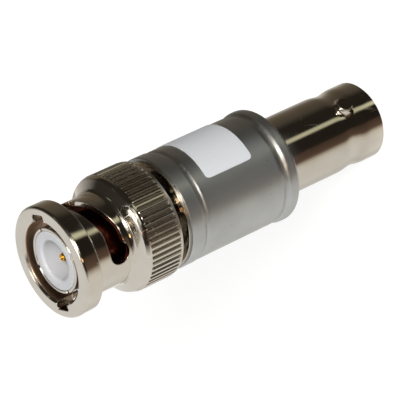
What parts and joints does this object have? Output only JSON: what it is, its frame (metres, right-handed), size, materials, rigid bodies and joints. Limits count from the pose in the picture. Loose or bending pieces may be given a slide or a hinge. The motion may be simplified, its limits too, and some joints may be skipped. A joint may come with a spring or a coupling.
{
  "type": "rf attenuator",
  "caption": "In-line coaxial attenuator: bayonet plug with a turning, sprung coupling nut, a round metal housing with a label, and a bayonet jack.",
  "frame": {"origin": "centre of the jack's end face, which the part stands on", "axes": "+Z along the part's axis from the jack up to the plug; X through the jack's two lugs"},
  "size_m": [0.0144, 0.0144, 0.0478],
  "materials": {
    "bright_nickel": "bright nickel plate on turned brass",
    "satin_nickel": "satin nickel plate on a drawn brass tube",
    "label_paper": "white coated label film",
    "spring_steel": "bright spring steel",
    "silicone": "dark red silicone rubber",
    "ptfe": "machined white PTFE",
    "gold": "gold plate on turned brass",
    "ceramic": "fired alumina with a resistive film",
    "plain_brass": "bare turned brass",
    "tinned_steel": "tinned pressed steel"
  },
  "bodies": {
    "attenuator": {"jack_body": "bright_nickel", "plug_body": "bright_nickel", "outer_contact": "bright_nickel", "housing_tube": "satin_nickel", "label": "label_paper", "retaining_ring": "spring_steel", "spring_washers": "spring_steel", "gasket": "silicone", "plug_insulator": "ptfe", "plug_bead": "ptfe", "jack_insulator": "ptfe", "jack_bead": "ptfe", "plug_pin": "gold", "jack_socket": "gold", "centre_stub": "gold", "shunt_disc": "ceramic", "series_rod_front": "ceramic", "series_rod_rear": "ceramic", "front_spacer": "plain_brass", "rear_spacer": "plain_brass", "inner_cap_front": "tinned_steel", "outer_cap_front": "tinned_steel", "inner_cap_rear": "tinned_steel", "outer_cap_rear": "tinned_steel"},
    "nut_carrier": {"thrust_washer": "spring_steel"},
    "coupling_nut": {"coupling_nut": "bright_nickel"}
  },
  "joints": [
    {"name": "nut_spring_travel", "type": "slide", "parent": "attenuator", "child": "nut_carrier", "axis": [0, 0, 1], "range_m": [0, 0.0018], "stiffness_N_per_m": 5000, "springref_m": -0.0005, "deforming": ["spring_washers"]},
    {"name": "nut_turn", "type": "hinge", "parent": "nut_carrier", "child": "coupling_nut", "pos_m": [0, 0, 0.0348], "axis": [0, 0, 1], "continuous": true}
  ]
}
